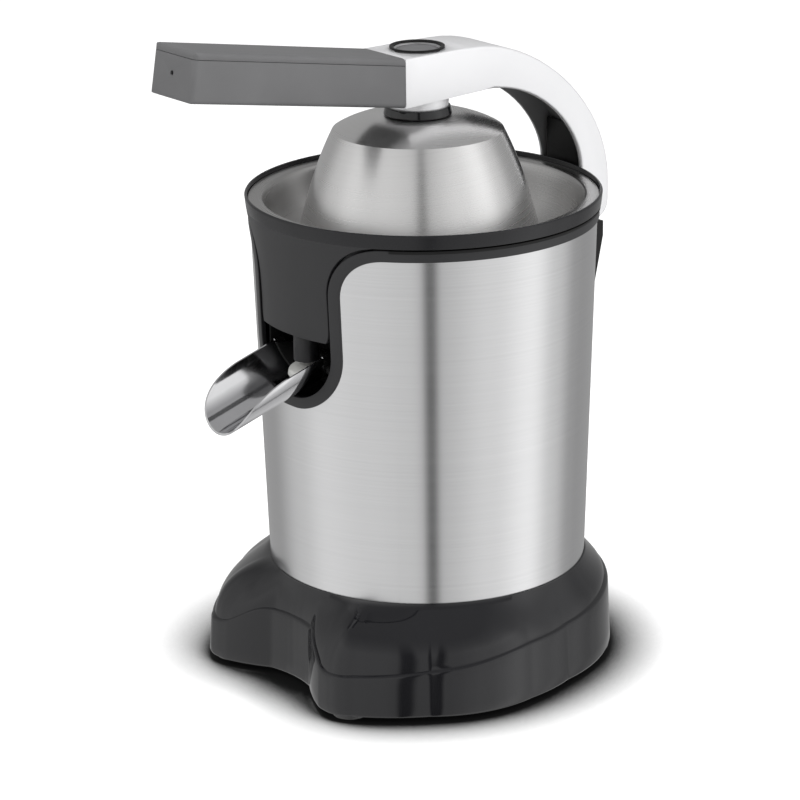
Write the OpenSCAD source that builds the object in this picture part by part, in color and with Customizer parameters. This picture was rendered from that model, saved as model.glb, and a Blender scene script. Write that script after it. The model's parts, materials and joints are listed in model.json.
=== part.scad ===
// Citrus press juicer. A lever swings a steel dome down over a motor-driven cone, and the
// juice runs through the bowl and out of a tilting steel spout.
// Millimetres, +Z up. The spout and the handle point to -Y. The origin lies on the drive
// axis, level with the table.

/* [Body] */
// Outer radius of the steel sleeve where it stands on the base
sleeve_r_low = 79.6; // [78:0.2:80]
// Outer radius of the steel sleeve at its top edge
sleeve_r_high = 85.6; // [85:0.1:85.8]
// Height at which the sleeve stands on the base
sleeve_z = 51.5; // [50:0.5:53]
// Wall of the steel sleeve
sleeve_wall = 0.8; // [0.6:0.1:1]
// Height of the bowl's rim above the table
rim_z = 239.2; // [239:0.1:239.6]
// Radius of the bowl's rim
rim_r = 88; // [87.8:0.1:88.2]

/* [Window] */
// Half width of the front window at its straight sides
window_half = 27.2; // [26:0.2:28]
// Height of the window's lowest point
window_z = 151; // [149:0.5:152]
// Width of the black trim around the window
trim_w = 6.3; // [5:0.1:7]
// Radius of the window's lower corners
window_corner_r = 24; // [20:0.5:26]
// Radius of the arcs where the window opens out under the rim
flare_r = 27.3; // [26:0.1:28]

/* [Base] */
// Height of the base's lower edge above the table
foot_h = 3; // [2:0.5:4]
// Height of the ridge around the base, measured on the drive axis
ridge_z = 31; // [29:0.5:32]
// Rise of that ridge towards the rear, in degrees
ridge_tilt = 4.5; // [3:0.5:5]
// Wall of the base moulding
base_wall = 2.6; // [2:0.1:3]
// Radius of the recess for a glass in the base's front
glass_r = 62; // [58:1:66]

/* [Lever] */
// Width of the arm and the handle
arm_w = 33; // [32:0.5:34]
// Distance of the hinge behind the drive axis
hinge_y = 97.4; // [97:0.1:98]
// Height of the hinge above the table
hinge_z = 218.5; // [218:0.1:219]
// Height of the arm's flat top
arm_top_z = 309.7; // [309:0.1:310]
// Length of the handle
handle_len = 125.4; // [110:0.2:130]
// Depth of the handle
handle_h = 24; // [22:0.5:24]
// Upward tilt of the handle, in degrees
handle_tilt = 9.85; // [8:0.05:11]

/* [Press] */
// How far the dome's axis stands ahead of the cone's when the lever is down
dome_ahead = 3; // [0:0.5:3]
// Radius of the dome at its open edge
dome_r = 60.8; // [58:0.2:61]
// Height of the dome's open edge above the table
dome_z = 213; // [212.5:0.5:216]
// Radius of the dome at its shoulder
shoulder_r = 42; // [40:0.5:43]
// Height of the dome's shoulder
shoulder_z = 269.8; // [269:0.2:270]
// Radius of the juicing cone at its foot
cone_r = 38; // [34:0.5:40]
// Height of the juicing cone's tip above the table
cone_tip_z = 252; // [246:0.5:254]
// Ribs on the juicing cone
cone_ribs = 8; // [6:1:10]

/* [Spout] */
// Inner radius of the half-round spout
spout_r = 19; // [18:0.5:19]
// Downward slope of the spout, in degrees
spout_slope = 16.5; // [14:0.5:18]
// Travel of the spout from pouring to closed, in degrees
spout_travel = 12; // [12:1:12]

/* [Drive] */
// Teeth of the motor pinion
pinion_teeth = 12; // [12:1:12]
// Teeth of the large idler wheel
idler_teeth = 42; // [42:1:42]
// Teeth of the small idler pinion
idler_pinion_teeth = 12; // [12:1:12]
// Teeth of the output gear
output_teeth = 44; // [44:1:44]
// Travel of the drive shaft that starts the motor
press_travel = 2.5; // [2:0.1:2.5]

/* [Hidden] */
$fn = 72;

far = 200;                                   // longer than any cut needs
gap = 0.3;                                   // play between pieces that move past each other
fit = 0.05;                                  // radial play of a pin or a shaft in its hole
trim_top_z = rim_z - 7.8;                    // top of the trim ring under the bowl's rim
boss_h = 5.8;                                // the round boss under the arm, down to the collar
trim_low_z = trim_top_z - trim_w + 0.6;      // lower edge of the trim ring
sleeve_top_z = trim_top_z - 0.3;
sleeve_lean = (sleeve_r_high - sleeve_r_low) / (sleeve_top_z - sleeve_z);
flare_x = window_half + flare_r;             // centre of the window's upper arcs
flare_z = trim_top_z + 0.6 - flare_r;
apron_z = 181.3;                             // lower edge of the bowl's apron
bowl_floor_z = 189;
nozzle_y = -73.5;
nozzle_z = 166.3;
dome_y = -dome_ahead;
arm_low_z = arm_top_z - 22.3;                // underside of the arm over the dome
arm_front_y = -23;
cheek = 2;                                   // wall of the arm's two cheeks
roof = 3;                                    // wall of the arm's outer side
post_half = arm_w / 2 - cheek - 0.9;         // half width of the post between the cheeks
dome_top_z = shoulder_z + 7.4;
spout_pivot = [-60, 163];                    // y and z of the spout's hinge
spout_origin = [-79, 174.5];                 // y and z of the chute's rear centre
plate_z = 138;                               // underside of the chassis plate
case_z = 141;                                // underside of the gear case
stage1_z = 146;                              // large idler wheel and motor pinion
stage2_z = 155;                              // small idler pinion and output gear
gear_h1 = 7;
gear_h2 = 8;
module1 = 1;                                 // tooth module of the first stage
module2 = 1.25;                              // tooth module of the second stage
stage1_distance = module1 * (pinion_teeth + idler_teeth) / 2;
stage2_distance = module2 * (idler_pinion_teeth + output_teeth) / 2;
idler_angle = 42;
idler_pos = stage2_distance * [cos(idler_angle), sin(idler_angle)];
motor_pos = [0, idler_pos.y + sqrt(pow(stage1_distance, 2) - pow(idler_pos.x, 2))];
motor_r = 34;

// Radius of the sleeve's outside at height z
function sleeve_r(z) = sleeve_r_low + (z - sleeve_z) * sleeve_lean;
// Points of a cubic curve with end points a and d and handles b and c
function curve(a, b, c, d, n = 10) = [for (i = [0:n]) let (t = i / n, s = 1 - t)
    s * s * s * a + 3 * s * s * t * b + 3 * s * t * t * c + t * t * t * d];
// Points of an arc
function arc(centre, r, from, to, n = 12) = [for (i = [0:n]) let (a = from + (to - from) * i / n)
    centre + r * [cos(a), sin(a)]];
function mirrored(points) = [for (i = [len(points) - 1:-1:0]) [-points[i].x, points[i].y]];

// Extrudes an outline drawn in Y and Z across the width w
module across(w) rotate([90, 0, 90]) linear_extrude(w, center = true) children();
// Extrudes an outline drawn in X and Z from y0 to y1
module along_y(y0, y1) translate([0, y1, 0]) rotate([90, 0, 0]) linear_extrude(y1 - y0) children();
// A ring with its lower face at height z
module ring(r_out, r_in, h, z = 0) translate([0, 0, z]) difference() {
    cylinder(r = r_out, h = h);
    translate([0, 0, -1]) cylinder(r = r_in, h = h + 2);
}
module mirror_x() {
    children();
    mirror([1, 0, 0]) children();
}
// A solid cone that follows the sleeve's outside, larger by grow
module sleeve_core(grow, z0, z1) translate([0, 0, z0])
    cylinder(r1 = sleeve_r(z0) + grow, r2 = sleeve_r(z1) + grow, h = z1 - z0, $fn = 144);

// Outline of the front window in X and Z, larger by d
function window_side(d) = concat([[110, trim_top_z + 0.6 - d]],
    arc([flare_x, flare_z], flare_r - d, 90, 180),
    arc([window_half - window_corner_r, window_z + window_corner_r], window_corner_r + d, 0, -90));
module window(d) polygon(concat([[110, 260]], window_side(d), mirrored(window_side(d)), [[-110, 260]]));

// ---------- base ----------

// Plan of the base: round at the rear, wider ahead, two lobes either side of the glass
module base_plan() offset(r = 6) offset(delta = -6) difference() {
    hull() {
        circle(r = 93);
        for (side = [-1, 1]) {
            translate([side * 34, -24]) circle(r = 64.5);
            translate([side * 46.5, -85]) circle(r = 15.5);
        }
    }
    translate([0, -86 - glass_r]) circle(r = glass_r);
}
// The base's outer form, lower by drop; the roof slopes from the ridge to the sleeve
module base_form(inset, drop, top_r) intersection() {
    hull() {
        difference() {
            translate([0, 0, foot_h - drop]) linear_extrude(60) offset(delta = -inset) hull() base_plan();
            rotate([ridge_tilt, 0, 0]) translate([-far, -far, ridge_z - drop]) cube([2 * far, 2 * far, far]);
        }
        translate([0, 0, sleeve_z - drop - 1]) cylinder(r = top_r, h = 1);
    }
    translate([0, 0, foot_h - drop]) linear_extrude(far) offset(delta = -inset) base_plan();
}
boss_places = [[67, -48], [-67, -48], [68, 42], [-68, 42]];
foot_places = [[48.5, -87.5], [-48.5, -87.5], [60, 58], [-60, 58]];

module base_shell() color("#151517") difference() {
    union() {
        difference() {
            base_form(0, 0, 80.6);
            base_form(base_wall, base_wall, 78);
        }
        for (p = boss_places) intersection() {
            translate([p.x, p.y, foot_h + 3]) cylinder(r = 4.5, h = 60);
            base_form(0.5, 0.5, 78);
        }
    }
    translate([0, 0, 30]) cylinder(r = 74, h = 40);
    for (p = boss_places) translate([p.x, p.y, 0]) cylinder(r = 1.7, h = 22, $fn = 24);
    translate([0, 80, 15]) rotate([-90, 0, 0]) cylinder(r = 5.2, h = 30);
}
module base_plate() color("#202022") difference() {
    translate([0, 0, foot_h]) linear_extrude(2.5) offset(delta = -base_wall - 0.4) base_plan();
    for (p = boss_places) translate([p.x, p.y, 0]) cylinder(r = 2, h = 10, $fn = 24);
    for (p = foot_places) translate([p.x, p.y, 0]) cylinder(r = 3.1, h = 10, $fn = 24);
    for (i = [-4:4]) translate([-18, i * 7 - 1.5, 0]) cube([36, 3, 10]);
}
module rubber_feet() color("#2b2b2b") for (p = foot_places) translate([p.x, p.y, 0]) {
    cylinder(r1 = 8.6, r2 = 9.2, h = foot_h, $fn = 48);
    cylinder(r = 3, h = foot_h + 3.5, $fn = 24);
}
module base_screws() color("#9a9a9a") for (p = boss_places) translate([p.x, p.y, foot_h - 1.6]) {
    difference() {
        cylinder(r = 3.4, h = 1.6, $fn = 32);
        translate([-0.4, -2.4, -1]) cube([0.8, 4.8, 1.7]);
        translate([-2.4, -0.4, -1]) cube([4.8, 0.8, 1.7]);
    }
    cylinder(r = 1.6, h = 14, $fn = 24);
}
module cord_gland() color("#1a1a1a") translate([0, 93.1, 15]) rotate([-90, 0, 0]) difference() {
    union() {
        cylinder(r = 7, h = 1.6);
        translate([0, 0, -5]) cylinder(r = 5.1, h = 6);
        translate([0, 0, -6.6]) cylinder(r = 6.5, h = 3.2);
    }
    translate([0, 0, -10]) cylinder(r = 3.4, h = 20, $fn = 32);
}

// ---------- sleeve, window and inner frame ----------

module sleeve() color("#c8c8ca") difference() {
    sleeve_core(0, sleeve_z, sleeve_top_z);
    sleeve_core(-sleeve_wall, sleeve_z - 1, sleeve_top_z + 1);
    along_y(-110, 0) window(2.8);
    for (z = [150, 178]) translate([0, 70, z]) rotate([-90, 0, 0]) cylinder(r = 2.2, h = 30, $fn = 24);
}
module window_trim() color("#262628") difference() {
    union() {
        intersection() {
            difference() {
                sleeve_core(1, window_z - 12, trim_top_z);
                sleeve_core(fit, window_z - 13, trim_top_z + 1);
            }
            union() {
                along_y(-110, 0) window(trim_w);
                translate([-far, -far, trim_low_z]) cube([2 * far, 2 * far, 20]);
            }
        }
        difference() {
            intersection() {
                sleeve_core(1, window_z - 12, trim_top_z);
                along_y(-110, 0) window(2.6);
            }
            sleeve_core(-2, 100, 240);
        }
        ring(rim_r - 1, 83.6, 0.9, trim_top_z - 0.9);
        translate([0, 0, trim_top_z - 3]) difference() {
            cylinder(r1 = sleeve_r(trim_top_z) + 0.6, r2 = rim_r - 1, h = 3, $fn = 144);
            translate([0, 0, -1]) cylinder(r = sleeve_r(trim_top_z) + 0.3, h = 5, $fn = 144);
        }
    }
    along_y(-110, 0) window(0.6);
    sleeve_gap();
}
// Room for the sleeve's upper edge under the trim ring
module sleeve_gap() translate([0, 0, sleeve_top_z - 4]) difference() {
    cylinder(r = sleeve_r_high + fit, h = 4.1, $fn = 144);
    translate([0, 0, -1]) cylinder(r = sleeve_r_high - sleeve_wall - 0.3, h = 6, $fn = 144);
    along_y(-110, 0) window(2.7);
}
// The dark box behind the window, which holds the spout's hinge
module spout_pocket() color("#101012") difference() {
    intersection() {
        translate([-26.6, -far / 2, window_z - 5.6]) cube([53.2, far / 2 - 52.4, 34.5]);
        cylinder(r = 80.8, h = 300, $fn = 144);
    }
    translate([-24.4, -far, window_z - 3.4]) cube([48.8, far - 54.6, 60]);
    translate([-30, spout_pivot.x, spout_pivot.y]) rotate([0, 90, 0])
        cylinder(r = 2.5 + fit, h = 60, $fn = 32);
}
post_places = [for (a = [35, 145, 215, 325]) 68 * [cos(a), sin(a)]];
module chassis() color("#39393c") {
    difference() {
        union() {
            ring(77.6, 71, 2.5, sleeve_z);
            ring(74, 71.6, plate_z - sleeve_z, sleeve_z);
            translate([0, 0, plate_z]) cylinder(r = 77, h = case_z - plate_z, $fn = 96);
        }
        translate([motor_pos.x, motor_pos.y, plate_z - 1]) cylinder(r = 9, h = 10);
        for (p = motor_screw_places) translate([p.x, p.y, plate_z - 1]) cylinder(r = 2, h = 10, $fn = 24);
    }
    for (p = post_places) translate([p.x, p.y, case_z]) cylinder(r = 4, h = bowl_floor_z - case_z - 5.5);
    difference() {
        ring(72.5, 60, 2.5, bowl_floor_z - 5.5);
        translate([-12, -100, 0]) cube([24, 60, 300]);
    }
}

// ---------- hinge bracket ----------

// Side outline of the bracket's slope on the sleeve's back
bracket_slope = [[60, 118], [84.5, 118], [103.4, 200], [103.4, 207.6], [60, 207.6]];
// Side outline of the block that carries the knuckle between the arm's cheeks
bracket_block = [[60, 200], [96.6, 200], [96.6, 226], [89.2, 226],
    [89.2, trim_low_z - 0.8], [60, trim_low_z - 0.8]];
module rear_bracket() color("#1b1b1d") difference() {
    union() {
        across(arm_w) polygon(bracket_slope);
        across(2 * post_half) polygon(bracket_block);
        translate([-post_half, hinge_y, hinge_z]) rotate([0, 90, 0])
            cylinder(r = 6.3, h = 2 * post_half, $fn = 48);
    }
    sleeve_core(0.1, 100, 240);
    translate([-30, hinge_y, hinge_z]) rotate([0, 90, 0]) cylinder(r = 3.02, h = 60, $fn = 48);
    for (z = [150, 178]) translate([0, 70, z]) rotate([-90, 0, 0]) cylinder(r = 1.9, h = 20.4, $fn = 24);
}
module bracket_post() color("#202022") intersection() {
    across(2 * post_half) polygon([[89.2, 226], [96.6, 226], [96.6, 236], [91.2, 259], [89.2, 259]]);
    translate([0, 0, 220]) linear_extrude(60) polygon([[-post_half, 92], [-post_half + 2.6, 89.2],
        [post_half - 2.6, 89.2], [post_half, 92], [post_half, 99], [-post_half, 99]]);
}
module bracket_screws() color("#9a9a9a") for (z = [150, 178])
    translate([0, sleeve_r(z) - sleeve_wall - 2.6, z]) rotate([-90, 0, 0]) {
        cylinder(r = 4, h = 2.1, $fn = 32);
        cylinder(r = 1.8, h = 9.5, $fn = 24);
    }
module hinge_pin() color("#b0b0b0") translate([-arm_w / 2 + 0.4, hinge_y, hinge_z]) rotate([0, 90, 0])
    cylinder(r = 3, h = arm_w - 0.8, $fn = 48);

// ---------- bowl ----------

// Outer radius of the apron and the rim at height z: it opens out towards the rim
function apron_r(z) = let (t = (z - apron_z) / (rim_z - 0.8 - apron_z)) 84.2 + (rim_r - 84.2) * pow(t, 1.8);
apron_levels = [for (i = [0:6]) apron_z - 4 + i * (rim_z - 0.8 - apron_z + 4) / 6];
module apron_body() rotate_extrude($fn = 144) polygon(concat(
    [for (z = apron_levels) [apron_r(max(z, apron_z)), z]],
    [for (i = [6:-1:0]) [apron_r(max(apron_levels[i], apron_z)) - 1.9, apron_levels[i]]]));
module juice_bowl() color("#2a2a2c") difference() {
    union() {
        // rim with the lip that stands round the liner
        rotate_extrude($fn = 144) polygon([[81.4, trim_top_z + 0.7],
            [apron_r(trim_top_z + 0.7), trim_top_z + 0.7], [rim_r, rim_z - 0.8], [rim_r - 0.5, rim_z],
            [rim_r - 1.3, rim_z], [rim_r - 1.6, 236.2], [81.6, 236.2]]);
        // wall, floor and the tube around the shaft
        rotate_extrude($fn = 144) polygon([[11, bowl_floor_z - 2.5], [79.4, bowl_floor_z - 2.5],
            [83.2, trim_top_z + 1], [81.6, trim_top_z + 1], [77.6, bowl_floor_z], [11, bowl_floor_z + 1]]);
        ring(11.5, 5.4, 21, bowl_floor_z - 2.5);
        // apron that fills the upper window
        intersection() {
            apron_body();
            along_y(-110, 0) difference() {
                window(-0.6);
                translate([-110, 0]) square([220, apron_z]);
                translate([-110, rim_z - 3]) square([220, 10]);
            }
        }
        // outlet between the bowl and the apron
        intersection() {
            translate([-10, -90, apron_z + 0.6]) cube([20, 24, 10]);
            cylinder(r = 82.6, h = 300);
        }
        translate([0, nozzle_y, nozzle_z]) cylinder(r = 6.3, h = 22, $fn = 48);
    }
    translate([0, nozzle_y, nozzle_z - 1]) cylinder(r = 4.2, h = 40, $fn = 48);
}
liner_upper = curve([80.2, 237], [76.6, 236.4], [77.4, 222], [66, 210.6], 8);
liner_under = curve([81, 236.3], [77.4, 235.8], [78.2, 221.4], [66.6, 209.9], 8);
module bowl_liner() color("#bdbdc0") rotate_extrude($fn = 144) polygon(concat([[86, 236.3], [86, 237]],
    liner_upper, [[55, 206.4], [54.2, 206.4], [54.2, 205.6], [55.2, 205.6]], backwards(liner_under)));
module strainer() color("#b5b5b8") difference() {
    union() {
        ring(54, 14, 0.8, 203.6);
        ring(16, 14, 5, 203.6);
        ring(54, 53, 1.9, 203.6);
    }
    for (i = [0:17]) rotate(i * 20) {
        translate([22, -0.7, 200]) cube([12, 1.4, 10]);
        rotate(10) translate([38, -0.7, 200]) cube([12, 1.4, 10]);
    }
}
module shaft_seal() color("#5a2a20") ring(6.6, 4.62, 1.6, bowl_floor_z + 18.6);

// ---------- motor ----------

motor_screw_places = [for (a = [-90, 30, 150]) motor_pos + 24 * [cos(a), sin(a)]];
module at_motor(z = 0) translate([motor_pos.x, motor_pos.y, z]) children();
module motor_case() color("#8d8f92") at_motor(66) difference() {
    cylinder(r = motor_r + 1.2, h = 50);
    translate([0, 0, 2]) cylinder(r = motor_r + 0.1, h = 60);
    translate([0, 0, -1]) cylinder(r = 6.1, h = 10);
    for (a = [0:60:300]) rotate(a) translate([18, -2, -1]) cube([10, 4, 10]);
}
module motor_cap() color("#77797c") at_motor(116) difference() {
    cylinder(r = motor_r + 1.2, h = plate_z - 116);
    translate([0, 0, -1]) cylinder(r = motor_r - 1, h = plate_z - 116 - 2);
    cylinder(r = 6.1, h = 60);
    for (a = [15:60:315]) rotate(a) translate([18, -3, 10]) cube([30, 6, 6]);
    for (p = motor_screw_places) translate([p.x - motor_pos.x, p.y - motor_pos.y, 0])
        cylinder(r = 1.7, h = 60, $fn = 24);
}
module stator_core() color("#6a5f58") at_motor(78) difference() {
    cylinder(r = motor_r, h = 34);
    translate([0, 0, -1]) cylinder(r = 24.6, h = 40);
    for (side = [-1, 1]) translate([side * 27.5 - 2, -16, -1]) cube([4, 32, 40]);
}
module stator_coils() color("#a5572a") at_motor() for (z = [72, 112.2])
    ring(32, 25.5, 5.8, z);
module motor_bushes() color("#b08d4a") at_motor() {
    ring(6, 2.5 + fit, 6, 66);
    ring(6, 2.5 + fit, 5, plate_z - 5);
}
module motor_screws() color("#9a9a9a") for (p = motor_screw_places) translate([p.x, p.y, case_z - 8]) {
    cylinder(r = 1.6, h = 8.1, $fn = 24);
    translate([0, 0, 8]) cylinder(r = 3, h = 1.8, $fn = 32);
}
module rotor_core() color("#5c4a3e") at_motor(80) difference() {
    cylinder(r = 24, h = 30);
    translate([0, 0, -1]) cylinder(r = 2.5, h = 40, $fn = 32);
    for (a = [0:30:330]) rotate(a) translate([18, -1.2, -1]) cube([10, 2.4, 40]);
}
module rotor_shaft() color("#a8aaad") at_motor(64) cylinder(r = 2.5, h = 90, $fn = 32);
module motor_fan() color("#3b5ea8") at_motor(120) difference() {
    union() {
        cylinder(r = 7, h = 9);
        cylinder(r = 27, h = 1.2);
        for (a = [0:40:320]) rotate(a) translate([6, -0.6, 0]) cube([21, 1.2, 8]);
    }
    translate([0, 0, -1]) cylinder(r = 2.5, h = 20, $fn = 32);
}

// ---------- gears ----------

// Outline of a spur gear with involute flanks; the tooth at angle 0 points along +X
function involute(base_r, r) = let (c = min(1, base_r / r), t = acos(c)) tan(t) * 180 / PI - t;
module gear_outline(teeth, m, spin = 0) {
    pitch = m * teeth / 2;
    base_r = pitch * cos(20);
    root_r = pitch - 1.2 * m;
    tip_r = pitch + 0.9 * m;
    half = 90 / teeth - 3.2 / teeth + involute(base_r, pitch);
    radii = [for (i = [0:3]) let (low = max(base_r, root_r + 0.2 * m)) low + (tip_r - low) * i / 3];
    rotate(spin) polygon([for (i = [0:teeth - 1]) let (a = 360 * i / teeth) each concat(
        [root_r * [cos(a - half - 1 / teeth), sin(a - half - 1 / teeth)]],
        [for (r = radii) r * [cos(a - half + involute(base_r, r)), sin(a - half + involute(base_r, r))]],
        [for (j = [3:-1:0]) let (turn = a + half - involute(base_r, radii[j])) radii[j] * [cos(turn), sin(turn)]],
        [root_r * [cos(a + half + 1 / teeth), sin(a + half + 1 / teeth)]])]);
}
// Turning a gear so that a tooth space faces its partner at the angle towards
function space_at(towards, teeth) = towards + 180 / teeth;
motor_angle = atan2(motor_pos.y - idler_pos.y, motor_pos.x - idler_pos.x);

module output_gear() color("#e6e2d8") difference() {
    union() {
        translate([0, 0, stage2_z]) linear_extrude(gear_h2) gear_outline(output_teeth, module2, idler_angle);
        translate([0, 0, stage2_z - 3]) cylinder(r = 8, h = 20);
    }
    translate([0, 0, 100]) cylinder(r = 4.7, h = 100, $fn = 6);
    for (a = [0:60:300]) rotate(a) translate([17, 0, 100]) cylinder(r = 4.5, h = 100, $fn = 32);
}
module idler_gear() color("#e6e2d8") translate([idler_pos.x, idler_pos.y, 0]) difference() {
    union() {
        translate([0, 0, stage1_z]) linear_extrude(gear_h1) gear_outline(idler_teeth, module1, motor_angle);
        translate([0, 0, stage1_z + gear_h1]) linear_extrude(stage2_z + gear_h2 - stage1_z - gear_h1)
            gear_outline(idler_pinion_teeth, module2, space_at(idler_angle + 180, idler_pinion_teeth));
        translate([0, 0, stage1_z - 1.5]) cylinder(r = 5, h = 2);
    }
    translate([0, 0, 100]) cylinder(r = 2.5 + fit, h = 100, $fn = 32);
}
module motor_pinion() color("#c9b178") at_motor(stage1_z) difference() {
    linear_extrude(gear_h1) gear_outline(pinion_teeth, module1, space_at(motor_angle + 180, pinion_teeth));
    translate([0, 0, -1]) cylinder(r = 2.5, h = 20, $fn = 32);
}
module case_plan(grow) hull() {
    circle(r = 31 + grow);
    translate(idler_pos) circle(r = 24.5 + grow);
    translate(motor_pos) circle(r = 12 + grow);
}
module gear_case() color("#d8d4c8") difference() {
    translate([0, 0, case_z]) linear_extrude(25) case_plan(2.4);
    translate([0, 0, case_z + 2.5]) linear_extrude(30) case_plan(0);
    at_motor(case_z - 1) cylinder(r = 4, h = 10);
    translate([idler_pos.x, idler_pos.y, case_z - 1]) cylinder(r = 2.5, h = 10, $fn = 32);
    for (p = motor_screw_places) translate([p.x, p.y, case_z - 1]) cylinder(r = 3.3, h = 10, $fn = 32);
}
module gear_lid() color("#d8d4c8") difference() {
    union() {
        translate([0, 0, case_z + 25]) linear_extrude(2.5) case_plan(2.4);
        translate([0, 0, case_z + 25]) cylinder(r = 14, h = 5.5);
    }
    translate([0, 0, case_z]) cylinder(r = 11, h = 60);
    translate([idler_pos.x, idler_pos.y, case_z]) cylinder(r = 2.5, h = 26.5, $fn = 32);
}
module idler_axle() color("#a8aaad") translate([idler_pos.x, idler_pos.y, case_z])
    cylinder(r = 2.48, h = 26.3, $fn = 32);
module output_bush() color("#b08d4a") ring(10.98, 8 + fit, 5.5, case_z + 25);

// ---------- shaft, cone and start switch ----------

module drive_shaft() color("#a8aaad") {
    translate([0, 0, 150]) cylinder(r = 10.5, h = 1.5);
    translate([0, 0, 151]) cylinder(r = 4.6, h = 25, $fn = 6);
    translate([0, 0, 175.9]) cylinder(r = 4.5, h = 38);
    translate([0, 0, 213.8]) cylinder(r = 4.4, h = 20, $fn = 6);
}
function cone_side(grow) = curve([cone_r + grow, 212], [cone_r - 3 + grow, 232],
    [14 + grow, cone_tip_z - 5], [2.5 + grow, cone_tip_z + grow * 0.5], 8);
module press_cone() color("#3a3a3d") difference() {
    union() {
        rotate_extrude() polygon(concat([[0, 212]], cone_side(-2.4), [[0, cone_tip_z - 1.2]]));
        for (i = [0:cone_ribs - 1]) rotate(i * 360 / cone_ribs) translate([0, 1, 0]) rotate([90, 0, 0])
            linear_extrude(2) polygon(concat([[0.5, 212]], cone_side(0), [[0.5, cone_tip_z]]));
        translate([0, 0, 236]) cylinder(r1 = 6, r2 = 3.2, h = cone_tip_z - 235.6, $fn = 48);
        ring(42, 9, 2, 210.2);
    }
    rotate_extrude() polygon([[8, 205], [30, 205], [30, 214.5], [12, 236], [8, 236]]);
    translate([0, 0, 200]) cylinder(r = 4.5, h = 34, $fn = 6);
    translate([0, 0, 205]) cylinder(r = 4.7, h = 8.9);
}
module switch_body() color("#8a1f1f") difference() {
    translate([-6, -4, case_z + 2.6]) cube([12, 8, 3.4]);
    cylinder(r = 2.1, h = 200, $fn = 32);
}
module switch_plunger() color("#d9d9d9") translate([0, 0, 146.1]) cylinder(r = 2, h = 3.8, $fn = 32);
// A tube along the points of a path, closed at both ends
module tube_along(path, r, sides = 8) {
    n = len(path);
    points = [for (i = [0:n - 1]) let (ahead = path[min(i + 1, n - 1)] - path[max(i - 1, 0)],
        t = ahead / norm(ahead), out = [path[i].x, path[i].y, 0] / norm([path[i].x, path[i].y, 0]),
        up = cross(out, t)) for (j = [0:sides - 1]) let (a = 360 * j / sides)
        path[i] + r * (cos(a) * out + sin(a) * up)];
    walls = [for (i = [0:n - 2]) for (j = [0:sides - 1]) let (k = (j + 1) % sides)
        [i * sides + j, (i + 1) * sides + j, (i + 1) * sides + k, i * sides + k]];
    polyhedron(points, concat(walls, [[for (j = [0:sides - 1]) j]],
        [[for (j = [sides - 1:-1:0]) (n - 1) * sides + j]]), convexity = 6);
}
spring_turns = 3.5;
module return_spring() color("#b8b8b8") tube_along([for (i = [0:56]) let (a = i * spring_turns * 360 / 56)
    [9 * cos(a), 9 * sin(a), case_z + 3.2 + i * 5.1 / 56]], 0.5);

// ---------- spout ----------

// The spout as drawn closed; at rest it hangs open by its travel
module hung_open() translate([0, spout_pivot.x, spout_pivot.y]) rotate([spout_travel, 0, 0])
    translate([0, -spout_pivot.x, -spout_pivot.y]) children();
module spout_frame() translate([0, spout_origin.x, spout_origin.y]) rotate([spout_slope, 0, 0]) children();
module spout_chute() color("#cfcfd2") spout_frame() intersection() {
    translate([0, 6, 0]) rotate([90, 0, 0]) difference() {
        cylinder(r = spout_r + 1, h = 64, $fn = 96);
        translate([0, 0, -1]) cylinder(r = spout_r, h = 66, $fn = 96);
    }
    // trough with two horns at the rear
    across(60) polygon(concat([[5.4, -1.4], [-24, -2]],
        curve([-24, -2], [-40, -3], [-50, -9], [-56.5, -21.5], 10), [[0, -21.5], [0, -2.8], [5.4, -5.4]]));
}
module spout_yoke() color("#232325") {
    spout_frame() intersection() {
        rotate([-90, 0, 0]) difference() {
            translate([0, 0, 0.1]) cylinder(r = spout_r + 1, h = 12.4, $fn = 96);
            translate([0, 0, -1]) cylinder(r = spout_r - 0.8, h = 12, $fn = 96);
        }
        across(60) polygon([[0.1, -3], [12.5, -9], [12.5, -30], [0.1, -30]]);
    }
    // two arms that reach back to the hinge, with its pins
    mirror_x() {
        difference() {
            translate([spout_r - 1.2, 0, 0]) rotate([90, 0, 90]) linear_extrude(2.8) hull() {
                translate(spout_pivot) circle(r = 4.4);
                translate([-73, 165.5]) circle(r = 2.6);
            }
            spout_frame() translate([-far, -far, -far]) cube([2 * far, far + 0.1, 2 * far]);
        }
        translate([spout_r + 1.4, spout_pivot.x, spout_pivot.y]) rotate([0, 90, 0])
            cylinder(r = 2.5, h = 6, $fn = 32);
    }
    // bridge and stalk under the seal
    hung_open() translate([0, nozzle_y, 0]) {
        translate([-19.5, 3, 158.8]) cube([39, 3.4, 2.4]);
        translate([0, 0, 159.6]) cylinder(r = 3.4, h = 3.8);
        translate([-3, 0, 159.6]) cube([6, 4, 1.6]);
    }
}
module drip_pad() color("#b9b9b6") hung_open() translate([0, nozzle_y, 163.5])
    cylinder(r1 = 9.6, r2 = 8.6, h = 2.7, $fn = 48);

// ---------- arm and handle ----------

arm_outer = concat([[arm_front_y, arm_top_z]], curve([18, arm_top_z], [59, arm_top_z], [hinge_y + 9.6, 271],
    [hinge_y + 9.6, 229], 20));
arm_inner = concat([[88.9, 238]], curve([88.9, 238], [88.6, 257], [64, arm_low_z], [26, arm_low_z], 18),
    [[arm_front_y, arm_low_z - 1.8]]);
arm_outline = concat(arm_outer, arc([hinge_y, hinge_z], 9.6, 0, -150, 14), arm_inner);
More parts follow.
